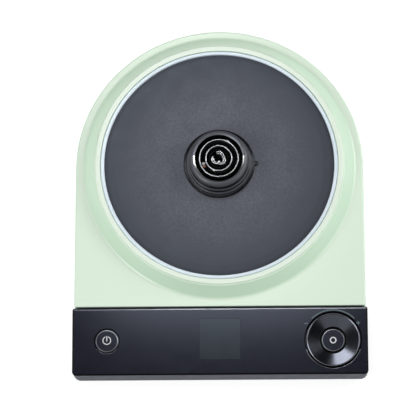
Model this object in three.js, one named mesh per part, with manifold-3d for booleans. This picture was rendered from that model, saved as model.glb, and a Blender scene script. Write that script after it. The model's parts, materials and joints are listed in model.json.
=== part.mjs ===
// Cordless kettle power base: a D-shaped stand with a round kettle seat, a central 360 degree
// connector and a front control panel with a power button, a display and a turning dial.
// Millimetres, +Z up, +Y to the back. The origin is the middle of the footprint on the table.
import * as THREE from 'three';
import { mergeVertices } from 'three/addons/utils/BufferGeometryUtils.js';
import Module from 'manifold-3d';

const wasm = await Module();
wasm.setup();

// ---- Driving dimensions -------------------------------------------------------------------

const GAP = 0.3; // clearance between neighbouring solids
const WALL = 2.4; // shell thickness

const BODY_R = 100.5; // radius of the round back, and half the body's width
const DEPTH = 248; // front to back
const BACK_Y = DEPTH / 2;
const FRONT_Y = -DEPTH / 2;
const SEAT_Y = BACK_Y - BODY_R; // the kettle seat's axis
const BOTTOM_Z = 3.2; // underside of the shells, above the table
const LAND_Z = 24.3; // the body's flat top around the raised seat
const EDGE = 1.2; // rounding of the body's top edge

const SEAT_Z = 32; // top of the seat plate
const SEAT_R = 80;
const SEAT_FLAT_R = 75.6; // outside this radius the plate falls away slightly
const RIM_Z = 33; // top of the rim around the plate
const RECESS_R = 82.95; // the rim's inner wall
const FLOOR_TOP = 29.2; // the body's floor under the plate
const FLOOR_BOTTOM = 26.8;

const PANEL_HALF_W = 101.6;
const PANEL_BACK_Y = SEAT_Y - 100.6;
const PANEL_BACK_Z = 24.4; // height of the panel's back edge
const PANEL_TILT = THREE.MathUtils.degToRad(4);
const PANEL_EDGE = 1.7; // rounding of the panel's top edges
const PANEL_CORNER = 5; // front corners, seen from above
const JOINT_Y = PANEL_BACK_Y + 0.6; // front face of the body behind the panel
const JOINT_WALL = 2;

const DIAL_X = 77.7; // the dial is this far right of the middle, the power button as far left
const CONTROL_Y = SEAT_Y - 123.9;
const WINDOW_Y = SEAT_Y - 122.9;
const WINDOW_SIZE = 28.2;
const DIAL_R = 18.5;
const DIAL_HOLE_R = 19.5;
const BUTTON_R = 7.95;
const BUTTON_HOLE_R = 8.5;

// Heights from the panel's surface, along its normal.
const DIAL_TOP = 0.9; // the dial's rim stands just proud
const DISH_BOTTOM = -1.7; // inner edge of the dial's dish
const SELECT_TOP = -1.9; // top of the select button, at the bottom of the dish
const POCKET_FLOOR = -4; // floor of the dial's pocket
const CUP_BOTTOM = POCKET_FLOOR - 1.2;
const SKIRT_END = -3.6; // lower end of the dial's skirt and hub
const CONTROL_BOARD = -9.5; // the control board's top
const BOARD_THICK = 1.6;
const STEM_END = -6.2; // lower end of both buttons' stems
const SWITCH_TOP = -7.2;

const PLATE_HOLE_R = 22.2; // hole for the connector through the seat plate and the floor
const FLANGE_R = 24.3;
const FLANGE_Z = SEAT_Z - 0.55; // underside of the connector's flange
const LEDGE_Z = SEAT_Z - 1.5; // the plate's recess that the flange drops into
const BOSS_R = 20.4;
const SOCKET_R = 16.6; // outer wall of the connector's ring-shaped slot
const BOSS_TOP = SEAT_Z + 14.5;
const RING_TOP = SEAT_Z + 14; // top of the contact rings
const SLOT_FLOOR = SEAT_Z + 2.5; // bottom of the connector's ring-shaped slot
const CONNECTOR_BOTTOM = 15;
const CLIP_TOP = FLOOR_BOTTOM - GAP;
const OUTER_RING = [12.7, 13.9]; // inner and outer radius
const INNER_RING = [8.3, 9.5];
const POST_R = 6.9; // middle post, which holds the centre contact
const KEY_W = 2.2; // locating key on the right of the flange
const KEY_REACH = 26.7;

const GLAND_Z = 12; // height of the cord inlet in the back wall
const COVER_TOP = BOTTOM_Z + 2.4;
const WELL_TOP = 9; // top of the cover's screw wells
const MAIN_BOARD_Z = 8.9;
const ON_BOARD = MAIN_BOARD_Z + BOARD_THICK + GAP;

const BELOW = -10; // under the object, where cutters may run out
const ROUND = 48; // facets of a full turn on the large round parts
const MEDIUM = 32;
const SMALL = 12;

// Places in plan, [x, y].
const FEET = {
  front_left: [-84, -104],
  front_right: [84, -104],
  rear_left: [-38, 100],
  rear_right: [38, 100],
};
const REAR_SCREWS = { rear_left: [-62, 81.5], rear_right: [62, 81.5] };
const SIDE_SCREWS = { side_left: [-88, -60], side_right: [88, -60] };
const FRONT_SCREWS = { front_left: [-40, -115.2], front_right: [40, -115.2] };
const COVER_SCREWS = { ...REAR_SCREWS, ...SIDE_SCREWS, ...FRONT_SCREWS };
const STANDOFFS = [[-82, -30], [-36, -30], [-82, 54], [-36, 54]];
const BLADES = { live: [-11, 4], neutral: [11, 4], earth: [0, -12] }; // from the seat's axis
const LANDINGS = { live: 27, neutral: 20.5, earth: 14 }; // y where each lead meets the main board

// ---- Materials ----------------------------------------------------------------------------

const paint = (color, roughness, metalness = 0) =>
  new THREE.MeshStandardMaterial({ color, roughness, metalness });
const MINT = paint(0xc4ddc4, 0.45);
const DARK = paint(0x3c3e44, 0.6);
const GLOSS = paint(0x1f2027, 0.2);
const CHARCOAL = paint(0x42444c, 0.75);
const BRIGHT = paint(0xd4dfe8, 0.25, 0.8);
const NICKEL = paint(0xd8d8d4, 0.25, 1);
const COPPER = paint(0xc97b52, 0.35, 1);
const STEEL = paint(0xb0b2b5, 0.35, 1);
const RUBBER = paint(0x26272a, 0.9);
const SMOKE = paint(0x3c444a, 0.15);
const BOARD = paint(0x1f6b3f, 0.5);
const BLUE = paint(0x2d5fa8, 0.45);
const YELLOW = paint(0xd9b340, 0.5);
const BLACK = paint(0x1d1d1f, 0.5);
const WHITE = paint(0xe6e6e2, 0.5);
const BROWN = paint(0x6b4226, 0.5);
const GREEN = paint(0x8bb23a, 0.5);
const WIRE_PAINTS = { live: BROWN, neutral: BLUE, earth: GREEN };

// ---- Solids -------------------------------------------------------------------------------

// A three.js geometry as a closed manifold-3d solid whose faces point out.
function solid(geometry) {
  const bare = geometry.index ? geometry.toNonIndexed() : geometry.clone();
  bare.deleteAttribute('normal');
  bare.deleteAttribute('uv');
  const merged = mergeVertices(bare, 1e-4);
  const index = merged.index.array;
  const triangles = [];
  for (let i = 0; i < index.length; i += 3) {
    const [a, b, c] = index.subarray(i, i + 3);
    if (a !== b && b !== c && c !== a) triangles.push(a, b, c);
  }
  const build = (triVerts) =>
    new wasm.Manifold(
      new wasm.Mesh({
        numProp: 3,
        vertProperties: new Float32Array(merged.attributes.position.array),
        triVerts: new Uint32Array(triVerts),
      }),
    );
  const made = build(triangles);
  return made.volume() > 0 ? made : build(triangles.reverse());
}

// A solid back as a named three.js mesh.
function part(name, body, material) {
  const { vertProperties, triVerts } = body.getMesh();
  const geometry = new THREE.BufferGeometry();
  geometry.setAttribute('position', new THREE.BufferAttribute(new Float32Array(vertProperties), 3));
  geometry.setIndex(new THREE.BufferAttribute(new Uint32Array(triVerts), 1));
  geometry.computeVertexNormals();
  const mesh = new THREE.Mesh(geometry, material);
  mesh.name = name;
  return mesh;
}

const join = (first, ...others) => others.reduce((all, next) => all.add(next), first);
const cut = (body, ...tools) => tools.reduce((left, tool) => left.subtract(tool), body);
const at = (body, x, y, z = 0) => body.translate([x, y, z]);
const seat = (body) => at(body, 0, SEAT_Y);

// Turned about a vertical axis, from [radius, height] pairs that close on themselves.
function turned(profile, segments = MEDIUM) {
  const points = profile.map(([r, z]) => new THREE.Vector2(r, z));
  points.push(points[0].clone());
  return solid(new THREE.LatheGeometry(points, segments).rotateX(Math.PI / 2));
}

const ring = (inner, outer, bottom, top, segments) =>
  turned([[inner, bottom], [outer, bottom], [outer, top], [inner, top]], segments);

const disc = (radius, bottom, top, segments = SMALL) =>
  turned([[0, bottom], [radius, bottom], [radius, top], [0, top]], segments);

// A cylinder lying along Y.
const rod = (radius, from, to, segments = SMALL) =>
  solid(new THREE.CylinderGeometry(radius, radius, to - from, segments).translate(0, (from + to) / 2, 0));

// A box from its lowest to its highest corner.
function block(low, high) {
  const size = high.map((value, i) => value - low[i]);
  const middle = high.map((value, i) => (value + low[i]) / 2);
  return at(solid(new THREE.BoxGeometry(...size)), ...middle);
}

// An outline raised from one height to another.
const raised = (outline, bottom, top) =>
  at(solid(new THREE.ExtrudeGeometry(outline, { depth: top - bottom, bevelEnabled: false })), 0, 0, bottom);

// The same with its top and bottom edges rounded.
function rounded(outline, bottom, top, radius, steps) {
  const depth = top - bottom - 2 * radius;
  const bevel = { bevelSize: radius, bevelThickness: radius, bevelOffset: -radius, bevelSegments: steps };
  return new THREE.ExtrudeGeometry(outline, { depth, ...bevel }).translate(0, 0, bottom + radius);
}

// ---- Outlines, seen from above --------------------------------------------------------------

const QUARTER = Math.PI / 2;

function arc(x, y, radius, from, to, steps) {
  const points = [];
  for (let i = 0; i <= steps; i++) {
    const angle = from + ((to - from) * i) / steps;
    points.push(new THREE.Vector2(x + radius * Math.cos(angle), y + radius * Math.sin(angle)));
  }
  return points;
}

const mirrored = (points) => points.map(({ x, y }) => new THREE.Vector2(-x, y)).reverse();

// The body's D: a straight front edge and a half circle behind.
const bodyOutline = (half, frontY) =>
  new THREE.Shape([
    new THREE.Vector2(-half, frontY),
    new THREE.Vector2(half, frontY),
    ...arc(0, SEAT_Y, half, 0, Math.PI, ROUND / 2),
  ]);

// The panel: a rectangle with one radius at its front corners and another at its back corners.
function panelOutline(half, frontY, backY, front, back) {
  const right = [
    ...arc(half - front, frontY + front, front, -QUARTER, 0, 5),
    ...arc(half - back, backY - back, back, 0, QUARTER, 3),
  ];
  return new THREE.Shape([...right, ...mirrored(right)]);
}

// The bottom cover: the D, a little wider under the panel.
function coverOutline(inset) {
  const rear = BODY_R - WALL - GAP - inset;
  const front = PANEL_HALF_W - WALL - GAP - inset;
  const frontY = FRONT_Y + WALL + GAP + inset;
  const corner = PANEL_CORNER - WALL;
  const side = [
    ...arc(front - corner, frontY + corner, corner, -QUARTER, 0, 3),
    new THREE.Vector2(front, PANEL_BACK_Y - GAP),
    new THREE.Vector2(rear, PANEL_BACK_Y - GAP),
  ];
  return [...side, ...arc(0, SEAT_Y, rear, 0, Math.PI, ROUND / 2), ...mirrored(side)];
}

// ---- The panel's frame ----------------------------------------------------------------------

// x runs across, y up the slope from the panel's back edge, and z out of its surface.
const panelMatrix = new THREE.Matrix4().makeRotationX(PANEL_TILT).setPosition(0, PANEL_BACK_Y, PANEL_BACK_Z);
const onPanel = (body) => body.transform(panelMatrix.toArray());
const alongSlope = (y) => (y - PANEL_BACK_Y) / Math.cos(PANEL_TILT);
const CONTROL_V = alongSlope(CONTROL_Y);
const WINDOW_V = alongSlope(WINDOW_Y);
const onSlope = (x, v) => [x, v * Math.cos(PANEL_TILT), v * Math.sin(PANEL_TILT)];
const control = (body, x) => onPanel(at(body, x, CONTROL_V));
const BOARD_BACK = alongSlope(-81);
const BOARD_FRONT = alongSlope(-119.6);
const BOARD_SCREWS = [-70, 52].flatMap((x) => [[x, BOARD_BACK - 3.2], [x, BOARD_FRONT + 2.2]]);

// Shears a vertical extrusion's upper part so that its top follows the panel's slope.
function sloped(geometry, fromZ) {
  const position = geometry.attributes.position;
  for (let i = 0; i < position.count; i++) {
    if (position.getZ(i) <= fromZ) continue;
    position.setZ(i, position.getZ(i) + (position.getY(i) - PANEL_BACK_Y) * Math.tan(PANEL_TILT));
  }
  return solid(geometry);
}

// ---- Shells -------------------------------------------------------------------------------

const underside = () => block([-150, -150, BELOW - 10], [150, 150, BOTTOM_Z]);
const screwPost = ([x, y], top, radius = 4) => at(ring(1.7, radius, WELL_TOP + GAP, top, SMALL), x, y);

// The green body: a D-shaped slab that rises through a concave foot and a cone to the seat's rim.
function topHousing() {
  const slab = solid(rounded(bodyOutline(BODY_R, JOINT_Y), BELOW, LAND_Z, EDGE, 2));
  const turret = turned([
    [0, LAND_Z - 2],
    [97, LAND_Z - 2],
    [97, LAND_Z + 0.02],
    [95.4, LAND_Z + 0.5],
    [94.2, LAND_Z + 1.5],
    [87.5, SEAT_Z - 0.1],
    [86.6, SEAT_Z + 0.75],
    [86.1, RIM_Z],
    [83.4, RIM_Z],
    [RECESS_R, RIM_Z - 0.4],
    [0, RIM_Z - 0.4],
  ], ROUND);
  const cavity = raised(bodyOutline(BODY_R - WALL, JOINT_Y + JOINT_WALL), BELOW, LAND_Z - WALL);
  const underSeat = turned([
    [0, LAND_Z - 5],
    [91, LAND_Z - 5],
    [91, LAND_Z - WALL + 0.5],
    [86.5, FLOOR_BOTTOM],
    [0, FLOOR_BOTTOM],
  ], ROUND);
  const shell = cut(
    join(slab, seat(turret)),
    underside(),
    cavity,
    seat(underSeat),
    seat(disc(RECESS_R, FLOOR_TOP, RIM_Z + 5, ROUND)),
  );
  const rearPosts = Object.values(REAR_SCREWS).map((place) => screwPost(place, FLOOR_BOTTOM + 0.8));
  const sidePosts = Object.values(SIDE_SCREWS).map((place) => screwPost(place, LAND_Z - 1));
  const stiffener = seat(ring(29, 30.6, FLOOR_BOTTOM - 4, FLOOR_BOTTOM + 0.5, MEDIUM));
  const inside = BODY_R - WALL;
  const wallFront = JOINT_Y - 1;
  const wallBack = JOINT_Y + JOINT_WALL;
  return cut(
    join(shell, ...rearPosts, ...sidePosts, stiffener),
    seat(disc(PLATE_HOLE_R + 0.2, FLOOR_BOTTOM - 6, FLOOR_TOP + 1, MEDIUM)),
    block([-inside, wallFront, BELOW], [inside, wallBack, COVER_TOP + GAP]), // the cover passes below
    block([-68, wallFront, 8.5], [-48, wallBack + 1, 14.5]), // way through for the ribbon cable
    at(rod(4.9, -12, 2, SMALL * 2), 0, BACK_Y, GLAND_Z),
  );
}

// The black control panel with its front and side walls.
function panelHousing() {
  const shearFrom = BELOW + 5;
  const inner = panelOutline(PANEL_HALF_W - WALL, FRONT_Y + WALL, PANEL_BACK_Y - 2, PANEL_CORNER - WALL, 0.5);
  const cavityDepth = PANEL_BACK_Z - WALL - BELOW;
  const cavity = new THREE.ExtrudeGeometry(inner, { depth: cavityDepth, bevelEnabled: false });
  const outer = panelOutline(PANEL_HALF_W, FRONT_Y, PANEL_BACK_Y, PANEL_CORNER, 2);
  const openBack = [PANEL_HALF_W - WALL, PANEL_BACK_Y + 1, 16]; // the back wall stops above the cable
  const shell = cut(
    sloped(rounded(outer, BELOW, PANEL_BACK_Z, PANEL_EDGE, 3), shearFrom),
    sloped(cavity.translate(0, 0, BELOW), shearFrom),
    underside(),
    block([-openBack[0], PANEL_BACK_Y - 4, BELOW], openBack),
  );
  const dialCup = control(ring(12.6, DIAL_HOLE_R + 2.1, CUP_BOTTOM, -0.8, MEDIUM), DIAL_X);
  const buttonSleeve = control(ring(9.9, 11.1, -5.6, -1, MEDIUM), -DIAL_X);
  const boardPost = onPanel(ring(0.95, 2.6, CONTROL_BOARD + GAP, -1.2, 8));
  const boardPosts = BOARD_SCREWS.map(([x, v]) => boardPost.translate(onSlope(x, v)));
  const roof = PANEL_BACK_Z - WALL + (FRONT_SCREWS.front_left[1] - PANEL_BACK_Y) * Math.tan(PANEL_TILT);
  const posts = Object.values(FRONT_SCREWS).map((place) => screwPost(place, roof + 0.8, 3.8));
  const half = WINDOW_SIZE / 2 + GAP;
  const sight = half - 1.8; // the opening under the window leaves a ledge to glue it on
  return cut(
    join(shell, dialCup, buttonSleeve, ...boardPosts, ...posts),
    control(disc(DIAL_HOLE_R, POCKET_FLOOR, 5, MEDIUM), DIAL_X),
    control(disc(12.6, -6, 5, MEDIUM), DIAL_X),
    control(disc(BUTTON_HOLE_R, -6, 5, MEDIUM), -DIAL_X),
    control(disc(9.9, -6, -WALL, MEDIUM), -DIAL_X),
    onPanel(block([-half, WINDOW_V - half, -1.5], [half, WINDOW_V + half, 3])),
    onPanel(block([-sight, WINDOW_V - sight, -5], [sight, WINDOW_V + sight, 3])),
  );
}

// The flat cover underneath, with a lip, screw wells, foot pockets and board standoffs.
function bottomCover() {
  const LIP_TOP = 8.6;
  const plate = raised(new THREE.Shape(coverOutline(0)), BOTTOM_Z, COVER_TOP);
  const lipOutline = new THREE.Shape(coverOutline(0));
  lipOutline.holes.push(new THREE.Path(coverOutline(1.6)));
  const lip = cut(
    raised(lipOutline, COVER_TOP - 0.5, LIP_TOP),
    block([-9, BACK_Y - 12, COVER_TOP], [9, BACK_Y, LIP_TOP + 1]), // clear of the cord gland
    block([-102, JOINT_Y - 1.5, COVER_TOP], [102, JOINT_Y + JOINT_WALL + 0.6, LIP_TOP + 1]), // and the wall
  );
  const wells = Object.values(COVER_SCREWS).map(([x, y]) => at(disc(4.6, BOTTOM_Z, WELL_TOP), x, y));
  const standoffs = STANDOFFS.map(([x, y]) => {
    const pillar = disc(3, COVER_TOP - 0.5, MAIN_BOARD_Z - GAP, 8);
    const peg = disc(1.2, COVER_TOP, MAIN_BOARD_Z + 2.8, 8);
    return at(join(pillar, peg), x, y);
  });
  const screwHoles = Object.values(COVER_SCREWS).map(([x, y]) =>
    at(join(disc(1.8, BELOW, WELL_TOP + 1, 8), disc(3.3, BELOW, 6.4)), x, y),
  );
  const footHoles = Object.values(FEET).map(([x, y]) =>
    at(join(disc(7.3, BELOW, BOTTOM_Z + 1.2, 20), disc(2.2, BELOW, WELL_TOP, 8)), x, y),
  );
  const vents = [];
  for (let i = 0; i < 9; i++) {
    const x = -76 + 4.8 * i;
    vents.push(block([x, -16, BELOW], [x + 2.4, 36, COVER_TOP + 1]));
  }
  const labelRecess = block([10, -20, BELOW], [78, 26, BOTTOM_Z + 0.4]);
  return cut(join(plate, lip, ...wells, ...standoffs), ...screwHoles, ...footHoles, ...vents, labelRecess);
}

// ---- Seat and connector -------------------------------------------------------------------

// A bar with a round end that points to the right from the seat's axis.
const keyBar = (width, reach, bottom, top) =>
  join(
    block([20, -width / 2, bottom], [reach - width / 2, width / 2, top]),
    at(disc(width / 2, bottom, top, 12), reach - width / 2, 0),
  );

function seatPlate() {
  const plate = turned([
    [PLATE_HOLE_R, FLOOR_TOP + GAP],
    [SEAT_R, FLOOR_TOP + GAP],
    [SEAT_R, SEAT_Z - 0.8],
    [SEAT_R - 0.4, SEAT_Z - 0.35],
    [SEAT_FLAT_R, SEAT_Z],
    [PLATE_HOLE_R, SEAT_Z],
  ], ROUND);
  const recess = disc(FLANGE_R + 0.4, LEDGE_Z, SEAT_Z + 1, MEDIUM);
  return seat(cut(plate, recess, keyBar(KEY_W + 0.8, KEY_REACH + 0.4, LEDGE_Z, SEAT_Z + 1)));
}

const trimRing = () =>
  seat(turned([
    [SEAT_R + 0.35, FLOOR_TOP + GAP],
    [RECESS_R - 0.35, FLOOR_TOP + GAP],
    [RECESS_R - 0.35, SEAT_Z + 0.4],
    [RECESS_R - 0.8, SEAT_Z + 0.65],
    [SEAT_R + 0.8, SEAT_Z + 0.65],
    [SEAT_R + 0.35, SEAT_Z + 0.4],
  ], ROUND));

// The connector's body: skirt below, flange in the plate, and above it a stepped boss with a
// wide slot for the contact rings round a hollow middle post for the centre contact.
function connectorHousing() {
  const body = turned([
    [0, CONNECTOR_BOTTOM],
    [20.4, CONNECTOR_BOTTOM],
    [21.8, CONNECTOR_BOTTOM + 1.4],
    [21.8, CLIP_TOP - 2.2],
    [20.6, CLIP_TOP - 2.2], // groove for the clip
    [20.6, CLIP_TOP + 0.15],
    [21.8, CLIP_TOP + 0.15],
    [21.8, FLANGE_Z],
    [FLANGE_R, FLANGE_Z],
    [FLANGE_R, SEAT_Z + 0.25],
    [22.9, SEAT_Z + 0.7],
    [22.4, SEAT_Z + 2.2],
    [21.7, SEAT_Z + 2.5],
    [21.5, SEAT_Z + 6.3],
    [BOSS_R + 0.5, SEAT_Z + 6.9],
    [BOSS_R, BOSS_TOP - 2.2],
    [BOSS_R - 0.8, BOSS_TOP - 0.7],
    [BOSS_R - 2, BOSS_TOP],
    [SOCKET_R + 1, BOSS_TOP],
    [SOCKET_R, BOSS_TOP - 0.6],
    [SOCKET_R, SLOT_FLOOR],
    [POST_R, SLOT_FLOOR],
    [POST_R, BOSS_TOP - 2.4],
    [POST_R - 1, BOSS_TOP - 2.4],
    [POST_R - 1, SLOT_FLOOR + 1],
    [0, SLOT_FLOOR + 1],
  ]);
  const inFlange = disc(FLANGE_R - 0.4, 0, SEAT_Z + 5, MEDIUM);
  const key = cut(keyBar(KEY_W, KEY_REACH, FLANGE_Z, SEAT_Z + 0.05), inFlange);
  const bladeSlots = Object.values(BLADES).map(([x, y]) =>
    block([x - 3.4, y - 0.7, 0], [x + 3.4, y + 0.7, CONNECTOR_BOTTOM + 3.5]),
  );
  return seat(cut(join(body, key), ...bladeSlots));
}

// The sprung signal contact between the rings, on the left.
function signalContact() {
  const leaf = block([10.5, -1.1, SLOT_FLOOR + 0.15], [11.8, 1.1, RING_TOP - 5]);
  return seat(leaf.rotate([0, 0, 201]));
}

const contactRing = ([inner, outer]) =>
  seat(turned([
    [inner, SLOT_FLOOR + 0.15],
    [outer, SLOT_FLOOR + 0.15],
    [outer, RING_TOP - 0.35],
    [outer - 0.3, RING_TOP],
    [inner + 0.3, RING_TOP],
    [inner, RING_TOP - 0.35],
  ]));

// The middle contact: a strip bent into a ring with three lobes, which grips the kettle's pin.
function centreContact() {
  const strip = (offset) => {
    const points = [];
    for (let i = 0; i < MEDIUM; i++) {
      const angle = (i / MEDIUM) * 2 * Math.PI;
      const lobe = Math.abs(Math.cos(1.5 * (angle - THREE.MathUtils.degToRad(80)))) ** 3;
      const r = 3.2 + 1.6 * lobe + offset;
      points.push(new THREE.Vector2(r * Math.cos(angle), r * Math.sin(angle)));
    }
    return points;
  };
  const outline = new THREE.Shape(strip(0.3));
  outline.holes.push(new THREE.Path(strip(-0.3)));
  return seat(raised(outline, SLOT_FLOOR + 1.3, RING_TOP - 0.7));
}

const connectorSeal = () => seat(ring(22.6, 24.2, LEDGE_Z + 0.15, FLANGE_Z - 0.15, MEDIUM));

// The spring clip that holds the connector up from below, open at the back.
const connectorClip = () =>
  seat(cut(ring(20.9, 26, CLIP_TOP - 1.8, CLIP_TOP - 0.1, MEDIUM), block([-6, 0, 0], [6, 40, 40])));

const terminalBlade = ([x, y]) =>
  seat(block([x - 3.1, y - 0.4, 8.6], [x + 3.1, y + 0.4, CONNECTOR_BOTTOM + 3.2]));

// ---- Control panel ------------------------------------------------------------------------

function displayWindow() {
  const half = WINDOW_SIZE / 2;
  return onPanel(block([-half, WINDOW_V - half, -1.2], [half, WINDOW_V + half, 0]));
}

// A tray on the control board that carries the display close under its window.
function displayHolder() {
  const [outer, inner] = [17.2, 15.6];
  const tray = block([-outer, WINDOW_V - outer, CONTROL_BOARD + GAP], [outer, WINDOW_V + outer, -5.4]);
  const hollow = block([-inner, WINDOW_V - inner, CONTROL_BOARD + 1.5], [inner, WINDOW_V + inner, 0]);
  return onPanel(cut(tray, hollow));
}

const displayModule = () =>
  onPanel(block([-15.2, WINDOW_V - 15.2, CONTROL_BOARD + 1.8], [15.2, WINDOW_V + 15.2, -2.9]));

function powerButton() {
  const cap = turned([
    [0, -3.8],
    [9.3, -3.8],
    [9.3, -3],
    [BUTTON_R, -3],
    [BUTTON_R, 0.1],
    [BUTTON_R - 0.5, 0.5],
    [0, 0.4],
  ]);
  return control(join(cut(cap, ring(4, 6.6, -4, -1.6)), disc(2.5, STEM_END, -3)), -DIAL_X);
}

// A push switch on the control board, the same for both buttons.
const pushSwitch = (x) =>
  control(cut(block([-3, -3, CONTROL_BOARD + GAP], [3, 3, SWITCH_TOP]), disc(2, CONTROL_BOARD + 0.8, 0)), x);

const plunger = (x) => control(disc(1.7, SWITCH_TOP - 0.7, STEM_END - GAP), x);

// A turning ring with a shallow dish for a fingertip and a hole for the select button.
const dialKnob = () =>
  control(turned([
    [DIAL_R, SKIRT_END],
    [DIAL_R, DIAL_TOP - 0.5],
    [DIAL_R - 0.5, DIAL_TOP],
    [DIAL_R - 0.9, DIAL_TOP - 0.15],
    [14, -0.45],
    [9.4, DISH_BOTTOM],
    [8.75, DISH_BOTTOM - 0.5],
    [8.75, SKIRT_END],
    [10.2, SKIRT_END],
    [10.2, -3.1],
    [17.2, -1.4],
    [17.2, SKIRT_END],
  ], 40), DIAL_X);

const dialRotor = () =>
  control(turned([[10.5, -7], [15.2, -7], [15.2, -5.5], [12.2, -5.5], [12.2, -3.4], [10.5, -3.4]]), DIAL_X);

const encoderBase = () => control(ring(9, 15.4, CONTROL_BOARD + GAP, -7.3), DIAL_X);

function selectButton() {
  const cap = turned([
    [0, SELECT_TOP - 1.4],
    [6.6, SELECT_TOP - 1.4],
    [6.6, SELECT_TOP - 2.7],
    [8.1, SELECT_TOP - 2.7],
    [8.1, SELECT_TOP - 0.5],
    [7.6, SELECT_TOP],
    [0, SELECT_TOP - 0.1],
  ]);
  return control(join(cap, disc(3, STEM_END, SELECT_TOP - 1)), DIAL_X);
}

// The sleeve on the board that the select button's stem slides in.
const buttonGuide = () =>
  control(turned([
    [5, CONTROL_BOARD + GAP],
    [6.2, CONTROL_BOARD + GAP],
    [6.2, -6.2],
    [5.4, -5.6],
    [5.4, -4.4],
    [3.4, -4.4],
    [3.4, -6.6],
    [5, -6.6],
  ], 24), DIAL_X);

function controlBoard() {
  const board = block([-90, BOARD_FRONT, CONTROL_BOARD - BOARD_THICK], [95, BOARD_BACK, CONTROL_BOARD]);
  const holes = BOARD_SCREWS.map(([x, v]) => at(disc(1.4, -20, 0, 12), x, v));
  const clearances = Object.values(FRONT_SCREWS).map(([x, y]) =>
    at(disc(4.6, -20, 0), x, alongSlope(y) - 0.9),
  );
  return onPanel(cut(board, ...holes, ...clearances));
}

function boardScrew([x, v]) {
  const under = CONTROL_BOARD - BOARD_THICK;
  return onPanel(at(join(disc(2.2, under - 1.7, under - GAP), disc(0.8, under - 1, -3.2, 8)), x, v));
}

const buzzer = () => onPanel(at(cut(disc(6, CONTROL_BOARD + GAP, -4), disc(1, -6, 0, 8)), 33, WINDOW_V));

// ---- Main board and its parts -------------------------------------------------------------

function mainBoard() {
  const board = block([-86, -36, MAIN_BOARD_Z], [-32, 60, MAIN_BOARD_Z + BOARD_THICK]);
  return cut(board, ...STANDOFFS.map(([x, y]) => at(disc(1.5, 0, 20, 12), x, y)));
}

const relay = () => block([-81, -22, ON_BOARD], [-62, -6.5, ON_BOARD + 10.2]);

const transformer = () =>
  join(
    block([-60, 18, ON_BOARD + 2], [-36, 38, ON_BOARD + 13]), // core
    block([-57, 21, ON_BOARD], [-39, 35, ON_BOARD + 14.6]), // winding and its bobbin
  );

const suppressionCapacitor = () => block([-81, 2, ON_BOARD], [-63, 9, ON_BOARD + 13]);
const electrolyticCapacitor = () => at(disc(5, ON_BOARD, ON_BOARD + 14.6, 24), -44, 6);
const varistor = () => at(rod(5, 0, 3.6, 24), -72, 20, ON_BOARD + 5.2);
const fuse = () => at(rod(2.6, 0, 19), -72, 30, ON_BOARD + 2.8);

function terminalBlock() {
  const body = block([-62, 44, ON_BOARD], [-42, 54, ON_BOARD + 11]);
  const ways = [-58.5, -52, -45.5].map((x) => at(rod(1.8, 48, 60, 12), x, 0, ON_BOARD + 4));
  return cut(body, ...ways);
}

// An insulated lead from a connector blade, across to the board's edge and down onto it.
function lead([x, y], landing) {
  const startY = SEAT_Y + y;
  const route = new THREE.CatmullRomCurve3([
    new THREE.Vector3(x, startY, 7.3),
    new THREE.Vector3(x - 4, (startY * 2 + landing) / 3, 7.4),
    new THREE.Vector3(-27, landing, 8.6),
    new THREE.Vector3(-30, landing, 14),
    new THREE.Vector3(-34, landing, 15.4),
    new THREE.Vector3(-35, landing, ON_BOARD),
  ]);
  const section = new THREE.Shape(arc(0, 0, 1.1, 0, (5 / 3) * Math.PI, 5)); // six sides
  return solid(new THREE.ExtrudeGeometry(section, { steps: 18, extrudePath: route }));
}

// The flat cable from the main board to the control board, a strip that bends in the YZ plane.
function ribbonCable() {
  const line = [[-30, 11.4], [-38, 12.2], [-48, 11.4], [-72, 10.9], [-79, 10.2], [-84, 10.4]];
  const lower = line.map(([y, z]) => new THREE.Vector2(y, z));
  const upper = line.map(([y, z]) => new THREE.Vector2(y, z + 0.9)).reverse();
  const outline = new THREE.Shape([...lower, ...upper]);
  const strip = new THREE.ExtrudeGeometry(outline, { depth: 16, bevelEnabled: false });
  const axes = new THREE.Matrix4().makeBasis(
    new THREE.Vector3(0, 1, 0),
    new THREE.Vector3(0, 0, 1),
    new THREE.Vector3(1, 0, 0),
  );
  return at(solid(strip.applyMatrix4(axes)), -66, 0);
}

// ---- Gland, feet and fasteners ------------------------------------------------------------

// The rubber bush in the back wall that the mains cord passes through, with an outer and an
// inner collar either side of the wall.
function cordGland() {
  const bush = join(rod(4.6, -9, -0.25, 24), rod(6, -5, -3.2, 24));
  return at(cut(bush, rod(3.5, -12, 2, 24)), 0, BACK_Y, GLAND_Z);
}

const foot = ([x, y]) =>
  at(turned([
    [0, 0],
    [6.2, 0],
    [7, 0.8],
    [7, BOTTOM_Z + 0.9],
    [1.9, BOTTOM_Z + 0.9],
    [1.9, 7.4],
    [0, 7.4],
  ], 20), x, y);

const coverScrew = ([x, y]) => at(join(disc(2.9, 4.2, 6.1), disc(1.4, 6, 16, 8)), x, y);

// ---- Assembly -----------------------------------------------------------------------------

const base = new THREE.Group();
const add = (name, body, material) => base.add(part(name, body, material));

add('top_housing', topHousing(), MINT);
add('bottom_cover', bottomCover(), DARK);
add('panel_housing', panelHousing(), GLOSS);
add('seat_plate', seatPlate(), CHARCOAL);
add('trim_ring', trimRing(), BRIGHT);

add('connector_housing', connectorHousing(), GLOSS);
add('outer_contact_ring', contactRing(OUTER_RING), NICKEL);
add('inner_contact_ring', contactRing(INNER_RING), NICKEL);
add('centre_contact', centreContact(), NICKEL);
add('signal_contact', signalContact(), COPPER);
add('connector_seal', connectorSeal(), RUBBER);
add('connector_clip', connectorClip(), STEEL);
for (const [name, place] of Object.entries(BLADES)) {
  add(`${name}_terminal`, terminalBlade(place), STEEL);
  add(`${name}_wire`, lead(place, LANDINGS[name]), WIRE_PAINTS[name]);
}

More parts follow.
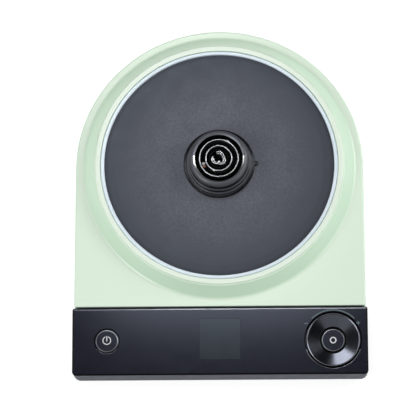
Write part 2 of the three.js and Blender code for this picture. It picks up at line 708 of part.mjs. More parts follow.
add('display_window', displayWindow(), SMOKE);
add('display_module', displayModule(), BLACK);
add('display_holder', displayHolder(), WHITE);
add('power_button', powerButton(), GLOSS);
add('power_switch', pushSwitch(-DIAL_X), BLACK);
add('power_switch_plunger', plunger(-DIAL_X), WHITE);
add('dial_knob', dialKnob(), GLOSS);
add('dial_rotor', dialRotor(), WHITE);
add('encoder_base', encoderBase(), BLACK);
add('select_button', selectButton(), GLOSS);
add('button_guide', buttonGuide(), WHITE);
add('select_switch', pushSwitch(DIAL_X), BLACK);
add('select_switch_plunger', plunger(DIAL_X), WHITE);
add('control_board', controlBoard(), BOARD);
add('buzzer', buzzer(), BLACK);
BOARD_SCREWS.forEach((place, i) => add(`board_screw_${i + 1}`, boardScrew(place), STEEL));

add('main_board', mainBoard(), BOARD);
add('relay', relay(), BLUE);
add('transformer', transformer(), YELLOW);
add('suppression_capacitor', suppressionCapacitor(), YELLOW);
add('electrolytic_capacitor', electrolyticCapacitor(), BLACK);
add('varistor', varistor(), BLUE);
add('fuse', fuse(), WHITE);
add('terminal_block', terminalBlock(), WHITE);
add('ribbon_cable', ribbonCable(), WHITE);

add('cord_gland', cordGland(), RUBBER);
for (const [name, place] of Object.entries(FEET)) add(`foot_${name}`, foot(place), RUBBER);
for (const [name, place] of Object.entries(COVER_SCREWS)) add(`screw_${name}`, coverScrew(place), STEEL);

export default base;
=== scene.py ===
import json
import math

import bmesh
import bpy
from mathutils import Matrix, Vector


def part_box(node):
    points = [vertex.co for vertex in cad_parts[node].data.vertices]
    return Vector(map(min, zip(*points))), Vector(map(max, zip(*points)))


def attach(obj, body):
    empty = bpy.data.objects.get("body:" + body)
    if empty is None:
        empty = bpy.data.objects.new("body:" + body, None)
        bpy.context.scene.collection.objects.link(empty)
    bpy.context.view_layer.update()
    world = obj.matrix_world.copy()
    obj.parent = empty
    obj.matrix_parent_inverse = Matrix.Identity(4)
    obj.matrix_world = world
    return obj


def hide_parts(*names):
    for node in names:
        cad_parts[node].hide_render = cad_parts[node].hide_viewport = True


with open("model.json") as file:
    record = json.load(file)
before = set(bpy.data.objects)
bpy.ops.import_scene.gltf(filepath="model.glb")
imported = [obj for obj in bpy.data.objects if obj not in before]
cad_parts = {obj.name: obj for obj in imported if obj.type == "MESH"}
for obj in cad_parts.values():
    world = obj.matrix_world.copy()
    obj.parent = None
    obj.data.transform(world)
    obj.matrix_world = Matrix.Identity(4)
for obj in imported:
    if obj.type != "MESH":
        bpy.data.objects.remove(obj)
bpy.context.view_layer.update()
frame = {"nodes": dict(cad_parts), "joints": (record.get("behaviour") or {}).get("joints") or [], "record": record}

MM = 0.001
TAU = 2 * math.pi


# ---- Places and sizes, from the frame ---------------------------------------------------------

def box_mm(node):
    low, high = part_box(node)
    return low / MM, high / MM


def joint(name):
    return next(j for j in frame["joints"] if j["name"] == name)


plate_low, plate_high = box_mm("seat_plate")
body_low, body_high = box_mm("top_housing")
panel_low, panel_high = box_mm("panel_housing")
boss_low, boss_high = box_mm("connector_housing")

# The body and the seat. Radii are from the seat's upright axis.
SEAT_Y = (plate_low.y + plate_high.y) / 2
SEAT_R = plate_high.x
SEAT_Z = plate_high.z
BODY_R = body_high.x
BACK_Y = body_high.y
JOINT_Y = body_low.y
BOTTOM_Z = body_low.z
RIM_Z = body_high.z
LAND_Z = SEAT_Z - 7.7
RECESS_R = SEAT_R + 2.95
RIM_R = 86.3  # outside of the raised rim
SLOPE_R = 94.9  # foot of the slope
LAND_R = 98.2  # the flat land is round this far out
FLOOR_TOP = SEAT_Z - 2.8
FLOOR_BOTTOM = SEAT_Z - 5.2
FLOOR_HOLE_R = 22.4
LEDGE_Z = SEAT_Z - 1.5  # the plate's recess for the connector's flange
WALL = 2.4
EDGE = 1.2  # rounding of the body's top edge

# The connector.
FLANGE_R = 24.3
FLANGE_Z = SEAT_Z - 0.55
BOSS_R = 20.4
BOSS_TOP = boss_high.z
SOCKET_R = 16.6
SLOT_FLOOR = SEAT_Z + 2.5
RING_TOP = SEAT_Z + 14
POST_R = 6.9
KEY_W = 2.2
KEY_REACH = 26.7

# The panel and its controls. Heights on it are from its sloping surface, along its normal.
dial_joint = joint("dial_turn")
DIAL_X = dial_joint["pos_m"][0] / MM
NORMAL = Vector(dial_joint["axis"]).normalized()
ROW_ORIGIN = Vector((0, dial_joint["pos_m"][1], dial_joint["pos_m"][2]))  # in metres
TILT = math.atan2(-NORMAL.y, NORMAL.z)
PANEL_HALF_W = panel_high.x
PANEL_EDGE = 1.0  # width of the chamfer round the panel's top
BACK_ROLL = 1.6  # how far from its back edge the panel's top starts to roll down
ROLL_DROP = 0.3
window_low, window_high = box_mm("display_window")
WINDOW_SIZE = window_high.x - window_low.x
# How far up the slope from the row of controls the window is.
WINDOW_V = ((window_low.y + window_high.y) / 2 - ROW_ORIGIN.y / MM) / math.cos(TILT)
DIAL_R = 18.5
DIAL_HOLE_R = 19.5
POCKET_FLOOR = -4
BUTTON_R = 7.95
BUTTON_HOLE_R = 8.5
SELECT_R = 8.1
STEM_END = -6.2
PRINT_THICK = 0.02

# The sharpest angle, in degrees, that is shaded smooth.
SMOOTH_TO = 35

# Where pieces that are made about the origin go.
SEAT = Matrix.Translation((0, SEAT_Y * MM, 0))
PANEL = Matrix.Translation(ROW_ORIGIN) @ Matrix.Rotation(TILT, 4, "X")


def on_panel(x, v=0.0):
    return PANEL @ Matrix.Translation((x * MM, v * MM, 0))


# ---- Meshes -------------------------------------------------------------------------------------

def arc(x, y, radius, start, end, steps):
    """Points on an arc, angles in degrees."""
    angles = [math.radians(start + (end - start) * i / steps) for i in range(steps + 1)]
    return [(x + radius * math.cos(a), y + radius * math.sin(a)) for a in angles]


def filleted(corners, degrees_per_step=12, closed=True):
    """A polyline from corners (x, y) or (x, y, fillet radius), with an arc at each filleted corner."""
    points = []
    count = len(corners)
    for i, corner in enumerate(corners):
        here = Vector(corner[:2])
        radius = corner[2] if len(corner) > 2 else 0
        at_end = not closed and i in (0, count - 1)
        if radius <= 0 or at_end:
            points.append(tuple(here))
            continue
        before = Vector(corners[i - 1][:2]) - here
        after = Vector(corners[(i + 1) % count][:2]) - here
        half = before.angle(after) / 2
        reach = min(radius / math.tan(half), 0.49 * before.length, 0.49 * after.length)
        before.normalize()
        after.normalize()
        radius = reach * math.tan(half)
        centre = here + (before + after).normalized() * radius / math.sin(half)
        first = here + before * reach - centre
        turn = first.angle_signed(here + after * reach - centre)
        steps = max(2, math.ceil(abs(math.degrees(turn)) / degrees_per_step))
        start = math.atan2(first.y, first.x)
        for k in range(steps + 1):
            a = start - turn * k / steps
            points.append((centre.x + radius * math.cos(a), centre.y + radius * math.sin(a)))
    return points


def finish_mesh(name, work, sharp=SMOOTH_TO):
    """A bmesh in millimetres as a smooth-shaded object, with the edges sharper than an angle kept."""
    bmesh.ops.remove_doubles(work, verts=work.verts, dist=1e-4)
    bmesh.ops.recalc_face_normals(work, faces=work.faces)
    mesh = bpy.data.meshes.new(name)
    work.to_mesh(mesh)
    work.free()
    mesh.transform(Matrix.Scale(MM, 4))
    piece = bpy.data.objects.new(name, mesh)
    bpy.context.scene.collection.objects.link(piece)
    shade(piece, sharp)
    return piece


def shade(piece, sharp=SMOOTH_TO):
    piece.data.polygons.foreach_set("use_smooth", [True] * len(piece.data.polygons))
    piece.data.set_sharp_from_angle(angle=math.radians(sharp))


def loft(name, rings, closed=False, sharp=SMOOTH_TO):
    """Skins rings of equally many 3-D points. The last joins the first, or both are capped."""
    work = bmesh.new()
    rows = [[work.verts.new(p) for p in ring] for ring in rings]
    count = len(rows[0])
    pairs = list(zip(rows, rows[1:]))
    if closed:
        pairs.append((rows[-1], rows[0]))
    for low, high in pairs:
        for i in range(count):
            k = (i + 1) % count
            work.faces.new((low[i], low[k], high[k], high[i]))
    if not closed:
        work.faces.new(rows[0])
        work.faces.new(rows[-1])
    return finish_mesh(name, work, sharp)


def lathe(name, profile, segments=160):
    """Turns a closed profile of (radius, height) about Z. Points on the axis become one vertex."""
    work = bmesh.new()
    columns = []
    for r, z in profile:
        if r < 1e-6:
            columns.append([work.verts.new((0, 0, z))] * segments)
            continue
        spin = [TAU * i / segments for i in range(segments)]
        columns.append([work.verts.new((r * math.cos(a), r * math.sin(a), z)) for a in spin])
    for a, b in zip(columns, columns[1:] + columns[:1]):
        for i in range(segments):
            k = (i + 1) % segments
            corners = list(dict.fromkeys((a[i], a[k], b[k], b[i])))
            if len(corners) > 2:
                work.faces.new(corners)
    return finish_mesh(name, work)


def tube(name, inner, outer, bottom, top, segments):
    return lathe(name, [(inner, bottom), (outer, bottom), (outer, top), (inner, top)], segments)


def rod(name, radius, bottom, top, segments=48):
    return lathe(name, [(0, bottom), (radius, bottom), (radius, top), (0, top)], segments)


def prism(name, outline, bottom, top):
    return loft(name, [[(x, y, z) for x, y in outline] for z in (bottom, top)])


def apply_modifiers(piece):
    bpy.context.view_layer.update()
    evaluated = piece.evaluated_get(bpy.context.evaluated_depsgraph_get())
    mesh = bpy.data.meshes.new_from_object(evaluated)
    piece.modifiers.clear()
    piece.data = mesh


def boolean(piece, operation, *others):
    """Cuts or joins other pieces, which are used up."""
    for other in others:
        modifier = piece.modifiers.new("boolean", "BOOLEAN")
        modifier.operation = operation
        modifier.solver = "EXACT"
        modifier.object = other
        apply_modifiers(piece)
        bpy.data.objects.remove(other)
    shade(piece)


def even_normals(piece):
    """Keeps large flat faces flat next to rounded edges."""
    modifier = piece.modifiers.new("normals", "WEIGHTED_NORMAL")
    modifier.weight = 80
    modifier.keep_sharp = True


def place(piece, matrix):
    """Moves a piece by its vertices, so that all materials see the same coordinates."""
    piece.data.transform(matrix)
    return piece


def square(half):
    """The corners of a square about the origin."""
    return [(half, half), (-half, half), (-half, -half), (half, -half)]


def refinish(piece, material, chosen, space=Matrix()):
    """Gives some faces another material. The test gets a face's centre and normal, seen from a space."""
    piece.data.materials.append(material)
    index = len(piece.data.materials) - 1
    back = space.inverted()
    turn = back.to_3x3()
    for face in piece.data.polygons:
        if chosen(back @ face.center / MM, turn @ face.normal):
            face.material_index = index


def in_ring(inner, outer=math.inf, above=-math.inf, behind=-math.inf):
    """A test for faces between two radii, over a height and behind a line."""
    def chosen(at, _normal):
        return inner < math.hypot(at.x, at.y) < outer and at.z > above and at.y > behind
    return chosen


def keep(piece, body, slot, material, *nodes):
    """Gives a finished piece its material, its body and the parts it stands for."""
    piece.data.materials.clear()
    piece.data.materials.append(material)
    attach(piece, body)
    if nodes:
        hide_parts(*nodes)


# ---- Materials ----------------------------------------------------------------------------------

def linear(red, green, blue):
    """An sRGB colour of 0 to 255 as the linear colour that shaders take."""
    channels = [c / 255 for c in (red, green, blue)]
    return [c / 12.92 if c < 0.04045 else ((c + 0.055) / 1.055) ** 2.4 for c in channels] + [1]


RELIEF_DEPTH = 0.1  # of the fine grain


def surface(name, colour, roughness, *, metallic=0.0, mottle=0.04, patch=60, fleck=0.0, grain=1500,
            bump=0.02, rough_spread=0.05, specular=0.5, gloss=(1, 1, 1)):
    """Moulded or plated stuff: a colour with soft patches and flecks, uneven roughness, and a fine relief.
    patch and grain are how many patches and grains there are in a metre."""
    material = bpy.data.materials.new(name)
    material.use_nodes = True
    nodes = material.node_tree.nodes
    links = material.node_tree.links
    shader = nodes["Principled BSDF"]
    shader.inputs["Metallic"].default_value = metallic
    shader.inputs["Specular IOR Level"].default_value = specular
    shader.inputs["Specular Tint"].default_value = (*gloss, 1)
    where = nodes.new("ShaderNodeTexCoord").outputs["Object"]

    def noise(scale, detail):
        texture = nodes.new("ShaderNodeTexNoise")
        texture.inputs["Scale"].default_value = scale
        texture.inputs["Detail"].default_value = detail
        links.new(where, texture.inputs["Vector"])
        return texture.outputs["Fac"]

    def ranged(value, low, high):
        mapped = nodes.new("ShaderNodeMapRange")
        mapped.interpolation_type = "SMOOTHSTEP"
        mapped.inputs["From Min"].default_value = 0.2
        mapped.inputs["From Max"].default_value = 0.8
        mapped.inputs["To Min"].default_value = low
        mapped.inputs["To Max"].default_value = high
        links.new(value, mapped.inputs["Value"])
        return mapped.outputs["Result"]

    def mixed(amount, first, second):
        tint = nodes.new("ShaderNodeMix")
        tint.data_type = "RGBA"
        tint.inputs[6].default_value = first
        tint.inputs[7].default_value = second
        links.new(amount, tint.inputs[0])
        return tint

    def scaled(factor):
        return [min(1, c * factor) for c in colour[:3]] + [1]

    relief_height = noise(grain, 4)
    tint = mixed(ranged(noise(patch, 3), 0, 1), scaled(1 - mottle), scaled(1 + mottle))
    if fleck:
        flecked = mixed(ranged(relief_height, fleck, 0), scaled(1), scaled(0.2))
        links.new(tint.outputs[2], flecked.inputs[6])
        tint = flecked
    links.new(tint.outputs[2], shader.inputs["Base Color"])
    rough = ranged(noise(patch * 2.3, 4), max(0.02, roughness - rough_spread), roughness + rough_spread)
    links.new(rough, shader.inputs["Roughness"])
    relief = nodes.new("ShaderNodeBump")
    relief.inputs["Strength"].default_value = bump
    relief.inputs["Distance"].default_value = RELIEF_DEPTH * MM
    links.new(relief_height, relief.inputs["Height"])
    links.new(relief.outputs["Normal"], shader.inputs["Normal"])
    return material


def mix_base(material, amount, other):
    """Mixes another colour into a material's own by a factor socket."""
    tree = material.node_tree
    base = tree.nodes["Principled BSDF"].inputs["Base Color"]
    own = base.links[0].from_socket
    mix = tree.nodes.new("ShaderNodeMix")
    mix.data_type = "RGBA"
    mix.inputs[7].default_value = other
    tree.links.new(amount, mix.inputs[0])
    tree.links.new(own, mix.inputs[6])
    tree.links.new(mix.outputs[2], base)


def eased(material, value, start, end, most):
    """A factor that rises smoothly from 0 to most as a value goes from start to end."""
    tree = material.node_tree
    step = tree.nodes.new("ShaderNodeMapRange")
    step.interpolation_type = "SMOOTHSTEP"
    step.inputs["From Min"].default_value = start
    step.inputs["From Max"].default_value = end
    step.inputs["To Max"].default_value = most
    tree.links.new(value, step.inputs["Value"])
    return step.outputs["Result"]


def painted_sheen_on_top(material, sheen_colour):
    """Surfaces that face up are painted paler than the slopes: a painted sheen where the lamps above fall."""
    tree = material.node_tree
    split = tree.nodes.new("ShaderNodeSeparateXYZ")
    tree.links.new(tree.nodes.new("ShaderNodeNewGeometry").outputs["Normal"], split.inputs["Vector"])
    mix_base(material, eased(material, split.outputs["Z"], 0.8, 0.99, 0.7), sheen_colour)


def painted_highlight_by_height(material, start, end, pale):
    """The colour gets paler from one height to another, in metres: a painted highlight on the highest tops."""
    tree = material.node_tree
    split = tree.nodes.new("ShaderNodeSeparateXYZ")
    tree.links.new(tree.nodes.new("ShaderNodeTexCoord").outputs["Object"], split.inputs["Vector"])
    mix_base(material, eased(material, split.outputs["Z"], start, end, 0.45), pale)


def painted_falloff_from_point(material, centre, start, end, falloff_colour):
    """Painted light: the colour changes with the distance from a point, from start to end, in metres, as a painted
    highlight that falls off into painted shade.
    """
    tree = material.node_tree
    offset = tree.nodes.new("ShaderNodeVectorMath")
    offset.operation = "SUBTRACT"
    offset.inputs[1].default_value = centre
    tree.links.new(tree.nodes.new("ShaderNodeTexCoord").outputs["Object"], offset.inputs[0])
    distance = tree.nodes.new("ShaderNodeVectorMath")
    distance.operation = "LENGTH"
    tree.links.new(offset.outputs["Vector"], distance.inputs[0])
    mix_base(material, eased(material, distance.outputs["Value"], start, end, 1), falloff_colour)


COOL = (0.72, 0.81, 1.0)  # tint of what the dark gloss mirrors
COOL_BLACK = (0.86, 0.91, 1)

MINT = surface("mint_plastic", linear(201, 226, 202), 0.3, mottle=0.008, patch=20, rough_spread=0.02,
               grain=2600, bump=0.06)
# Painted highlights on the mint: faces that look up are paler, and the rim's top paler still.
painted_sheen_on_top(MINT, linear(213, 226, 211))
painted_highlight_by_height(MINT, (RIM_Z - 0.7) * MM, (RIM_Z - 0.1) * MM, linear(224, 232, 222))
DARK = surface("cover_plastic", linear(58, 60, 66), 0.6, grain=1800, bump=0.25)
PANEL_GLOSS = surface("panel_gloss", linear(23, 23, 32), 0.15, mottle=0.03, rough_spread=0.015, bump=0.01,
                      gloss=COOL)
PEBBLE = surface("seat_pebble", linear(84, 85, 91), 0.42, mottle=0.1, patch=45, fleck=0.5, grain=800,
                 bump=0.35, rough_spread=0.04, gloss=COOL)
# The disc is painted darker towards its edge: a painted highlight in the middle and painted shade by the rim.
painted_falloff_from_point(PEBBLE, (0, SEAT_Y * MM, SEAT_Z * MM), 35 * MM, SEAT_R * MM, linear(51, 53, 58))
TRIM = surface("trim_metal", linear(206, 218, 226), 0.42, metallic=0.3, mottle=0.02, patch=30)
CONNECTOR = surface("connector_plastic", linear(9, 9, 12), 0.24, mottle=0.05, grain=3000, bump=0.01,
                    gloss=COOL_BLACK)
# Plated metal of the centre contact; also a painted glint on the connector's inner edge at its sides.
CROWN_METAL_AND_GLINT = surface("crown_metal_and_glint", linear(228, 230, 232), 0.24, metallic=1.0, mottle=0.08, patch=700)
NICKEL = surface("contact_nickel", linear(178, 181, 184), 0.3, metallic=1.0, mottle=0.08, patch=700)
COPPER = surface("signal_copper", linear(190, 120, 92), 0.35, metallic=1.0, mottle=0.08, patch=900)
STEEL = surface("zinc_steel", linear(176, 178, 181), 0.35, metallic=1.0, mottle=0.08, patch=400)
RUBBER = surface("rubber", linear(38, 39, 42), 0.75, grain=2500, bump=0.3)
SMOKE = surface("window_smoke", linear(36, 41, 45), 0.15, mottle=0.02, rough_spread=0.015, bump=0.005,
                gloss=COOL)
BUTTON = surface("button_gloss", linear(20, 20, 29), 0.18, mottle=0.03, rough_spread=0.02, bump=0.01,
                 gloss=COOL)
DIAL = surface("dial_gloss", linear(82, 85, 93), 0.19, metallic=1.0, mottle=0.04, rough_spread=0.015,
               bump=0.01)
PRINT = surface("pale_print", linear(206, 208, 210), 0.5, mottle=0.03)
DULL_PRINT = surface("teal_print", linear(84, 102, 105), 0.5, mottle=0.03)
# Painted highlight: bright metal bands put on edges of the dark gloss where the lamps are mirrored.
EDGE_HIGHLIGHT = surface("edge_highlight", linear(150, 154, 162), 0.34, metallic=1.0, mottle=0.05, patch=200)
SATIN_BLACK = surface("satin_black", linear(65, 68, 79), 0.5, grain=1800, bump=0.08, specular=0.12)
# Painted shade: near black for gaps, hollows and edges turned away from the lamps.
PAINTED_SHADE_BLACK = surface("painted_shade_black", linear(4, 4, 5), 0.6, grain=2400, bump=0.1, specular=0.08)
# Painted highlight along the panel's back edge, made dimmer towards the left.
BACK_EDGE_HIGHLIGHT = surface("back_edge_highlight", linear(160, 164, 171), 0.4, metallic=1.0, mottle=0.05, patch=200)
painted_falloff_from_point(BACK_EDGE_HIGHLIGHT, Vector((30, panel_high.y, panel_high.z)) * MM, 40 * MM, 125 * MM,
                 linear(84, 86, 92))
# A dimmer painted highlight for the rims of the dial, the power button and the socket.
RIM_HIGHLIGHT = surface("rim_highlight", linear(112, 115, 122), 0.45, metallic=1.0, mottle=0.05, patch=200)
# Painted sheen: the black connector's upward faces in grey.
CONNECTOR_TOP_SHEEN = surface("connector_top_sheen", linear(70, 72, 79), 0.38, mottle=0.05, grain=3000, bump=0.02)
BOARD = surface("board_laminate", linear(34, 96, 60), 0.45, mottle=0.1, patch=300)
BLUE = surface("blue_mouldings", linear(45, 95, 168), 0.4, grain=1200, bump=0.1)
YELLOW = surface("yellow_mouldings", linear(214, 178, 66), 0.45, grain=1200, bump=0.1)
BLACK = surface("black_mouldings", linear(32, 32, 35), 0.5, grain=1500, bump=0.15)
WHITE = surface("white_mouldings", linear(228, 228, 222), 0.5, grain=1500, bump=0.1)
BROWN = surface("brown_insulation", linear(107, 66, 38), 0.4)
GREEN = surface("green_insulation", linear(139, 178, 58), 0.4)

SLOT_MATERIALS = {
    "body_plastic": MINT, "cover_plastic": DARK, "panel_gloss": PANEL_GLOSS, "seat_coating": PEBBLE,
    "trim_metal": TRIM, "connector_plastic": CONNECTOR, "contact_metal": NICKEL, "signal_copper": COPPER,
    "steel": STEEL, "rubber": RUBBER, "window_smoke": SMOKE, "button_gloss": BUTTON, "dial_gloss": DIAL,
    "board_laminate": BOARD, "blue_component": BLUE, "yellow_component": YELLOW, "black_component": BLACK,
    "white_component": WHITE, "brown_lead": BROWN, "blue_lead": BLUE, "earth_lead": GREEN,
}


def repaint_parts():
    """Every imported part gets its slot's material. Those that a piece stands for are hidden later."""
    slot_of = {s["node"]: s["material_slot"] for s in frame["record"]["subparts"]}
    for name, part in frame["nodes"].items():
        material = SLOT_MATERIALS[slot_of[name]]
        if not part.material_slots:
            part.data.materials.append(material)
        for used in part.material_slots:
            used.material = material


# ---- The green body -----------------------------------------------------------------------------

def at_inlet():
    """Takes a piece made along +Z to the cord's inlet, pointing out of the back."""
    low, high = box_mm("cord_gland")
    height = (low.z + high.z) / 2
    return Matrix.Translation((0, BACK_Y * MM, height * MM)) @ Matrix.Rotation(-math.pi / 2, 4, "X")


def stations(half, front):
    """The body's D seen from above, about the seat's axis, with as many points at every size."""
    corner = 1.3
    inset = BODY_R - half
    radius = max(0.05, corner - inset)
    side_steps, front_steps = 40, 80
    right = [(half, -(front - radius) * i / side_steps) for i in range(1, side_steps)]
    right += arc(half - radius, -front + radius, radius, 0, -90, 6)
    across = half - radius
    middle = [(across - 2 * across * i / front_steps, -front) for i in range(1, front_steps)]
    left = [(-x, y) for x, y in reversed(right)]
    back = arc(0, 0, half, 180, 0, 170)
    return right + middle + left + back


def round_body():
    """The rim, slope and land round the seat, the outer wall, the floor, and the cord's inlet."""
    front = SEAT_Y - JOINT_Y
    outer = stations(BODY_R, front)
    directions = [math.atan2(y, x) for x, y in outer]

    def circle(radius, z):
        return [(radius * math.cos(a), radius * math.sin(a), z) for a in directions]

    def outline(inset, z, front_inset=None):
        at_front = inset if front_inset is None else front_inset
        return [(x, y, z) for x, y in stations(BODY_R - inset, front - at_front)]

    seat_profile = filleted([
        (FLOOR_HOLE_R, FLOOR_TOP),
        (RECESS_R, FLOOR_TOP),
        (RECESS_R, RIM_Z, 0.45),
        (RIM_R, RIM_Z, 0.5),
        (RIM_R + 0.45, SEAT_Z + 0.25, 0.35),
        (RIM_R + 1.2, SEAT_Z, 0.6),
        (SLOPE_R, LAND_Z, 4),
        (LAND_R, LAND_Z),
    ], 9, closed=False)
    rings = [circle(r, z) for r, z in seat_profile]
    for inset, z in arc(EDGE, LAND_Z - EDGE, EDGE, 90, 180, 7):
        rings.append(outline(inset, z, 0.25 * inset))  # the edge along the panel is a quarter as round
    rings.append(outline(0, BOTTOM_Z + 0.4))
    rings.append(outline(0.4, BOTTOM_Z))
    rings.append(outline(WALL, BOTTOM_Z))
    rings.append(outline(WALL, LAND_Z - WALL))
    rings += [circle(91, LAND_Z - WALL), circle(86.5, FLOOR_BOTTOM), circle(FLOOR_HOLE_R, FLOOR_BOTTOM)]
    body = place(loft("body_shell", rings, closed=True), SEAT)
    boolean(body, "DIFFERENCE", place(rod("inlet_cutter", 4.9, -12, 3), at_inlet()))
    even_normals(body)
    keep(body, "base", "body_plastic", MINT, "top_housing")


# ---- The seat -----------------------------------------------------------------------------------

def round_bar(name, width, reach, bottom, top):
    """A flat bar with a round end, pointing to +X."""
    half = width / 2
    root = 18
    outline = [(root, -half)] + arc(reach - half, 0, half, -90, 90, 12) + [(root, half)]
    return prism(name, outline, bottom, top)


def seat_plate():
    """The disc, with a recess for the connector's flange and a notch for its key."""
    hole, recess = 22.2, 24.75
    plate = lathe("seat_disc", filleted([
        (hole, FLOOR_TOP + 0.3),
        (SEAT_R, FLOOR_TOP + 0.3),
        (SEAT_R, SEAT_Z - 0.55, 0.3),
        (77.6, SEAT_Z - 0.2, 5),
        (73, SEAT_Z, 12),
        (recess, SEAT_Z, 0.2),
        (recess, LEDGE_Z),
        (hole, LEDGE_Z),
    ], 15), 256)
    notch = round_bar("key_notch", KEY_W + 1.4, KEY_REACH + 0.9, LEDGE_Z, SEAT_Z + 1)
    boolean(plate, "DIFFERENCE", notch)
    even_normals(plate)
    keep(place(plate, SEAT), "base", "seat_coating", PEBBLE, "seat_plate")


def trim_ring():
    """The bright band between the disc and the body's rim."""
    top = SEAT_Z + 0.65
    inner, outer = SEAT_R + 0.1, RECESS_R - 0.12
    ring = lathe("trim_band", filleted([
        (inner, FLOOR_TOP + 0.3),
        (outer, FLOOR_TOP + 0.3),
        (outer, top, 0.7),
        (inner, top, 0.7),
    ], 12), 256)
    keep(place(ring, SEAT), "base", "trim_metal", TRIM, "trim_ring")


# ---- The connector ------------------------------------------------------------------------------

def connector():
    """A flange, a base with two grooves round it, the boss, the ring-shaped socket and the middle post."""
    body = lathe("connector_body", filleted([
        (0, boss_low.z),
        (BOSS_R, boss_low.z, 0.5),
        (21.8, boss_low.z + 1.4, 0.5),
        (21.8, FLANGE_Z),
        (FLANGE_R, FLANGE_Z),
        (FLANGE_R, SEAT_Z + 0.25, 0.3),
        (22.9, SEAT_Z + 0.7, 0.3),
        (22.4, SEAT_Z + 2.3, 0.7),
        (21, SEAT_Z + 2.3, 0.1),
        (21, SEAT_Z + 3.2, 0.1),
        (21.6, SEAT_Z + 3.2, 0.2),
        (21.4, SEAT_Z + 6.6, 0.8),
        (20, SEAT_Z + 6.6, 0.1),
        (20, SEAT_Z + 7.6, 0.1),
        (BOSS_R + 0.3, SEAT_Z + 7.6, 0.2),
        (BOSS_R, BOSS_TOP - 2.4, 1),
        (BOSS_R - 0.9, BOSS_TOP - 0.7, 1.2),
        (BOSS_R - 2.2, BOSS_TOP, 1.2),
        (SOCKET_R + 1.1, BOSS_TOP, 0.3),
        (SOCKET_R, BOSS_TOP - 0.5, 0.3),
        (SOCKET_R, SLOT_FLOOR, 0.3),
        (POST_R, SLOT_FLOOR, 0.3),
        (POST_R, BOSS_TOP - 2.4, 0.4),
        (POST_R - 1, BOSS_TOP - 2.4, 0.3),
        (POST_R - 1, SLOT_FLOOR + 1, 0.3),
        (0, SLOT_FLOOR + 1),
    ], 12), 200)
    key = round_bar("key", KEY_W, KEY_REACH, FLANGE_Z, SEAT_Z + 0.1)
    inside = FLANGE_R - 0.9
    hollow = rod("key_trim", inside, 0, 60, 64)
    boolean(key, "DIFFERENCE", hollow)
    boolean(body, "UNION", key)
    even_normals(body)

    inner_edge_z = BOSS_TOP - 0.7
    on_inner_edge = in_ring(SOCKET_R, SOCKET_R + 0.75, above=inner_edge_z)

    def on_top(centre, normal):
        return math.hypot(centre.x, centre.y) > SOCKET_R and centre.z > SEAT_Z + 0.6 and normal.z > 0.35

    def in_socket(centre, _normal):
        return math.hypot(centre.x, centre.y) < SOCKET_R + 0.01 and SEAT_Z < centre.z < inner_edge_z

    def at_side(centre, normal):
        return on_inner_edge(centre, normal) and abs(centre.y + 4.5) < 6.2

    keep(place(body, SEAT), "base", "connector_plastic", CONNECTOR, "connector_housing")
    # Painted light on the black connector: a grey painted sheen on its upward faces, painted shade in the socket,
    # a painted highlight round the socket's edge and a brighter painted glint at its sides.
    refinish(body, CONNECTOR_TOP_SHEEN, on_top, SEAT)
    refinish(body, PAINTED_SHADE_BLACK, in_socket, SEAT)
    refinish(body, RIM_HIGHLIGHT, on_inner_edge, SEAT)
    refinish(body, CROWN_METAL_AND_GLINT, at_side, SEAT)


def contact_ring(name, inner, outer, node, seam_angle):
    """A band of plated strip with the lap of its seam standing out a little."""
    band = lathe(name, filleted([
        (inner, SLOT_FLOOR + 0.15),
        (outer, SLOT_FLOOR + 0.15),
        (outer, RING_TOP, 0.4),
        (inner, RING_TOP, 0.4),
    ], 15), 160)
    lap = prism("lap", filleted([
        (outer - 0.5, -1.2),
        (outer + 0.35, -0.9, 0.3),
        (outer + 0.35, 0.9, 0.3),
        (outer - 0.5, 1.2),
    ], 20), SLOT_FLOOR + 0.4, RING_TOP - 0.15)
    place(lap, Matrix.Rotation(math.radians(seam_angle), 4, "Z"))
    boolean(band, "UNION", lap)
    even_normals(band)
    keep(place(band, SEAT), "base", "contact_metal", NICKEL, node)


def sprung_band(name, radius, lobe, thick, start, sweep, bottom, top):
    """An upright strip bent into part of a wavy ring with three lobes, its top edge and ends rounded."""
    steps = 150
    end_steps = 3
    lobe_angle = math.radians(80)
    rings = []
    for i in range(steps + 1):
        angle = math.radians(start + sweep * i / steps)
        middle = radius + lobe * math.cos(3 * (angle - lobe_angle))
        to_end = min(1, min(i, steps - i) / end_steps)
        half = thick / 2 * (0.4 + 0.6 * to_end)
        height = top - 0.5 * (1 - to_end) - half
        section = [(middle - half, bottom), (middle + half, bottom)] + arc(middle, height, half, 0, 180, 8)
        rings.append([(r * math.cos(angle), r * math.sin(angle), z) for r, z in section])
    return loft(name, rings)


def centre_contact():
    """The earth contact: an outer band with a gap at the upper left, a second band in it, and a pin."""
    low, high = box_mm("centre_contact")
    crown = sprung_band("centre_spring", 4.5, 0.5, 0.7, 150, 325, low.z, high.z)
    keep(place(crown, SEAT), "base", "contact_metal", CROWN_METAL_AND_GLINT, "centre_contact")
    inner = sprung_band("centre_inner", 3.25, 0.4, 0.6, 170, 300, low.z, high.z - 0.4)
    keep(place(inner, SEAT), "base", "contact_metal", CROWN_METAL_AND_GLINT)
    pin_r, pin_end = 0.8, low.z + 5
    profile = filleted([(0, low.z), (pin_r, low.z), (pin_r, pin_end, 0.6), (0, pin_end)])
    pin = lathe("centre_pin", profile, 40)
    place(pin, SEAT @ Matrix.Translation((0.1 * MM, -1.3 * MM, 0)))
    keep(pin, "base", "contact_metal", CROWN_METAL_AND_GLINT)


